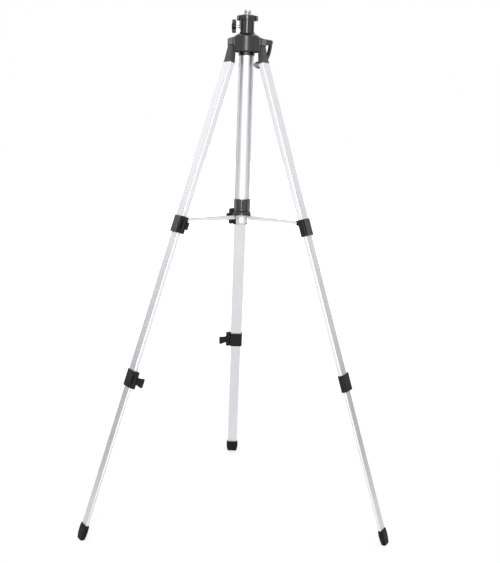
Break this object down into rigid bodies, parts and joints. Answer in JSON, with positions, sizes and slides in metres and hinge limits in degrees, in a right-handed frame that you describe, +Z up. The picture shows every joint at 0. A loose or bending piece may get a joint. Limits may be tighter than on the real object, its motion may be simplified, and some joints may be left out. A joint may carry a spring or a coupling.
{
  "type": "laser level tripod",
  "caption": "Telescopic tripod with a geared column, platform and threaded stud for a laser level, folding strut spreader, leg clamps and rubber feet.",
  "frame": {"origin": "foot of the stud, in the plane of the platform's raised seat, on the tripod's axis", "axes": "+Z up along the stud and column, +Y towards the rear leg, -Y the front between two legs"},
  "size_m": [0.7324, 0.6362, 1.2302],
  "materials": {
    "gloss_black_plastic": "moulded black plastic, glossy",
    "satin_black_plastic": "moulded black plastic, satin",
    "dark_grey_plastic": "moulded dark grey plastic, fine texture",
    "natural_plastic": "moulded natural bearing plastic",
    "anodised_tube": "drawn tube, clear anodised, satin",
    "bare_strip": "pressed strip, bright",
    "zinc_steel": "turned steel, zinc plated",
    "black_steel": "turned steel, blackened",
    "black_rubber": "moulded rubber, matte"
  },
  "bodies": {
    "head": {"crown": "gloss_black_plastic", "crown_base_ring": "satin_black_plastic", "center_tube": "anodised_tube", "tube_end_bush": "natural_plastic", "neck_collar": "gloss_black_plastic", "leg_hinge_bolts": "black_steel"},
    "column": {"inner_column": "anodised_tube", "elevator_rack": "zinc_steel", "column_end_plug": "natural_plastic", "platform": "gloss_black_plastic", "mounting_stud": "zinc_steel"},
    "head_lock": {"head_lock_screw": "zinc_steel", "head_lock_wing": "gloss_black_plastic"},
    "crank": {"crank_shaft": "zinc_steel", "elevator_pinion": "zinc_steel", "crank_arm": "gloss_black_plastic", "crank_screw": "zinc_steel"},
    "crank_grip": {"crank_grip": "satin_black_plastic"},
    "hub": {"hub_collar": "satin_black_plastic", "spreader_ring": "satin_black_plastic", "strut_hub_pins": "zinc_steel"},
    "front_left_upper_leg": {"front_left_leg_fitting": "dark_grey_plastic", "front_left_upper_tube": "anodised_tube", "front_left_upper_clamp": "satin_black_plastic"},
    "front_left_middle_leg": {"front_left_middle_tube": "anodised_tube", "front_left_middle_bush": "natural_plastic", "front_left_lower_clamp": "satin_black_plastic"},
    "front_left_lower_leg": {"front_left_lower_tube": "anodised_tube", "front_left_lower_bush": "natural_plastic", "front_left_foot": "black_rubber"},
    "front_left_upper_knob": {"front_left_upper_knob": "satin_black_plastic"},
    "front_left_lower_knob": {"front_left_lower_knob": "satin_black_plastic"},
    "front_left_strut_bar": {"front_left_strut_bar": "bare_strip"},
    "front_left_strut_strips": {"front_left_strut_strips": "bare_strip"},
    "front_right_upper_leg": {"front_right_leg_fitting": "dark_grey_plastic", "front_right_upper_tube": "anodised_tube", "front_right_upper_clamp": "satin_black_plastic"},
    "front_right_middle_leg": {"front_right_middle_tube": "anodised_tube", "front_right_middle_bush": "natural_plastic", "front_right_lower_clamp": "satin_black_plastic"},
    "front_right_lower_leg": {"front_right_lower_tube": "anodised_tube", "front_right_lower_bush": "natural_plastic", "front_right_foot": "black_rubber"},
    "front_right_upper_knob": {"front_right_upper_knob": "satin_black_plastic"},
    "front_right_lower_knob": {"front_right_lower_knob": "satin_black_plastic"},
    "front_right_strut_bar": {"front_right_strut_bar": "bare_strip"},
    "front_right_strut_strips": {"front_right_strut_strips": "bare_strip"},
    "rear_upper_leg": {"rear_leg_fitting": "dark_grey_plastic", "rear_upper_tube": "anodised_tube", "rear_upper_clamp": "satin_black_plastic"},
    "rear_middle_leg": {"rear_middle_tube": "anodised_tube", "rear_middle_bush": "natural_plastic", "rear_lower_clamp": "satin_black_plastic"},
    "rear_lower_leg": {"rear_lower_tube": "anodised_tube", "rear_lower_bush": "natural_plastic", "rear_foot": "black_rubber"},
    "rear_upper_knob": {"rear_upper_knob": "satin_black_plastic"},
    "rear_lower_knob": {"rear_lower_knob": "satin_black_plastic"},
    "rear_strut_bar": {"rear_strut_bar": "bare_strip"},
    "rear_strut_strips": {"rear_strut_strips": "bare_strip"}
  },
  "joints": [
    {"name": "column_slide", "type": "slide", "parent": "head", "child": "column", "axis": [0, 0, 1], "range_m": [0, 0.29]},
    {"name": "crank_turn", "type": "hinge", "parent": "head", "child": "crank", "pos_m": [0.0085, -0.01472, -0.0598], "axis": [0.866, 0.5, 0], "range_deg": [0, 3324.2]},
    {"name": "crank_grip_spin", "type": "hinge", "parent": "crank", "child": "crank_grip", "pos_m": [0.02573, 0.07143, -0.1078], "axis": [0.866, 0.5, 0], "continuous": true},
    {"name": "head_lock_turn", "type": "hinge", "parent": "head", "child": "head_lock", "pos_m": [-0.0263, 0, -0.0262], "axis": [-1, 0, 0], "range_deg": [0, 270]},
    {"name": "front_left_leg_fold", "type": "hinge", "parent": "head", "child": "front_left_upper_leg", "pos_m": [-0.03118, -0.018, -0.0632], "axis": [0.5, -0.866, 0], "range_deg": [0, 16.4]},
    {"name": "front_right_leg_fold", "type": "hinge", "parent": "head", "child": "front_right_upper_leg", "pos_m": [0.03118, -0.018, -0.0632], "axis": [0.5, 0.866, 0], "range_deg": [0, 16.45]},
    {"name": "rear_leg_fold", "type": "hinge", "parent": "head", "child": "rear_upper_leg", "pos_m": [0, 0.036, -0.0632], "axis": [-1, 0, 0], "range_deg": [0, 16.45]},
    {"name": "hub_slide", "type": "slide", "parent": "head", "child": "hub", "axis": [0, 0, 1], "range_m": [0, 0.1059]},
    {"name": "front_left_strut_bar_pivot", "type": "hinge", "parent": "hub", "child": "front_left_strut_bar", "pos_m": [-0.02035, -0.01175, -0.4762], "axis": [0.5, -0.866, 0], "range_deg": [0, 88.34]},
    {"name": "front_left_strut_strips_pivot", "type": "hinge", "parent": "front_left_upper_leg", "child": "front_left_strut_strips", "pos_m": [-0.12669, -0.07314, -0.4794], "axis": [0.5, -0.866, 0], "range_deg": [0, 71.94]},
    {"name": "front_left_middle_slide", "type": "slide", "parent": "front_left_upper_leg", "child": "front_left_middle_leg", "axis": [0.2712, 0.1566, 0.9497], "range_m": [0, 0.295]},
    {"name": "front_left_lower_slide", "type": "slide", "parent": "front_left_middle_leg", "child": "front_left_lower_leg", "axis": [0.2712, 0.1566, 0.9497], "range_m": [0, 0.295]},
    {"name": "front_left_upper_knob_turn", "type": "hinge", "parent": "front_left_upper_leg", "child": "front_left_upper_knob", "pos_m": [-0.13198, -0.10946, -0.49001], "axis": [0.7913, -0.598, -0.1274], "range_deg": [0, 270]},
    {"name": "front_left_lower_knob_turn", "type": "hinge", "parent": "front_left_middle_leg", "child": "front_left_lower_knob", "pos_m": [-0.2357, -0.16737, -0.84781], "axis": [0.7913, -0.598, -0.1274], "range_deg": [0, 270]},
    {"name": "front_right_strut_bar_pivot", "type": "hinge", "parent": "hub", "child": "front_right_strut_bar", "pos_m": [0.02035, -0.01175, -0.4762], "axis": [0.5, 0.866, 0], "range_deg": [0, 88.34]},
    {"name": "front_right_strut_strips_pivot", "type": "hinge", "parent": "front_right_upper_leg", "child": "front_right_strut_strips", "pos_m": [0.12669, -0.07314, -0.4794], "axis": [0.5, 0.866, 0], "range_deg": [0, 71.94]},
    {"name": "front_right_middle_slide", "type": "slide", "parent": "front_right_upper_leg", "child": "front_right_middle_leg", "axis": [-0.2712, 0.1566, 0.9497], "range_m": [0, 0.295]},
    {"name": "front_right_lower_slide", "type": "slide", "parent": "front_right_middle_leg", "child": "front_right_lower_leg", "axis": [-0.2712, 0.1566, 0.9497], "range_m": [0, 0.295]},
    {"name": "front_right_upper_knob_turn", "type": "hinge", "parent": "front_right_upper_leg", "child": "front_right_upper_knob", "pos_m": [0.16078, -0.05957, -0.49001], "axis": [0.1222, 0.9843, -0.1274], "range_deg": [0, 270]},
    {"name": "front_right_lower_knob_turn", "type": "hinge", "parent": "front_right_middle_leg", "child": "front_right_lower_knob", "pos_m": [0.2628, -0.12044, -0.84781], "axis": [0.1222, 0.9843, -0.1274], "range_deg": [0, 270]},
    {"name": "rear_strut_bar_pivot", "type": "hinge", "parent": "hub", "child": "rear_strut_bar", "pos_m": [0, 0.0235, -0.4762], "axis": [-1, 0, 0], "range_deg": [0, 88.34]},
    {"name": "rear_strut_strips_pivot", "type": "hinge", "parent": "rear_upper_leg", "child": "rear_strut_strips", "pos_m": [0, 0.14629, -0.4794], "axis": [-1, 0, 0], "range_deg": [0, 71.94]},
    {"name": "rear_middle_slide", "type": "slide", "parent": "rear_upper_leg", "child": "rear_middle_leg", "axis": [0, -0.3132, 0.9497], "range_m": [0, 0.295]},
    {"name": "rear_lower_slide", "type": "slide", "parent": "rear_middle_leg", "child": "rear_lower_leg", "axis": [0, -0.3132, 0.9497], "range_m": [0, 0.295]},
    {"name": "rear_upper_knob_turn", "type": "hinge", "parent": "rear_upper_leg", "child": "rear_upper_knob", "pos_m": [-0.0288, 0.16903, -0.49001], "axis": [-0.9135, -0.3863, -0.1274], "range_deg": [0, 270]},
    {"name": "rear_lower_knob_turn", "type": "hinge", "parent": "rear_middle_leg", "child": "rear_lower_knob", "pos_m": [-0.0271, 0.28781, -0.84781], "axis": [-0.9135, -0.3863, -0.1274], "range_deg": [0, 270]}
  ],
  "couplings": [
    {"joint": "crank_turn", "follows": "column_slide", "rad_per_m": 200},
    {"joint": "front_right_leg_fold", "follows": "front_left_leg_fold", "ratio": 1},
    {"joint": "rear_leg_fold", "follows": "front_left_leg_fold", "ratio": 1},
    {"joint": "hub_slide", "follows": "front_left_leg_fold", "m_per_rad": 0.36831},
    {"joint": "front_left_strut_bar_pivot", "follows": "front_left_leg_fold", "ratio": 5.3744},
    {"joint": "front_left_strut_strips_pivot", "follows": "front_left_leg_fold", "ratio": 4.3744},
    {"joint": "front_right_strut_bar_pivot", "follows": "front_left_leg_fold", "ratio": 5.3744},
    {"joint": "front_right_strut_strips_pivot", "follows": "front_left_leg_fold", "ratio": 4.3744},
    {"joint": "rear_strut_bar_pivot", "follows": "front_left_leg_fold", "ratio": 5.3744},
    {"joint": "rear_strut_strips_pivot", "follows": "front_left_leg_fold", "ratio": 4.3744}
  ]
}
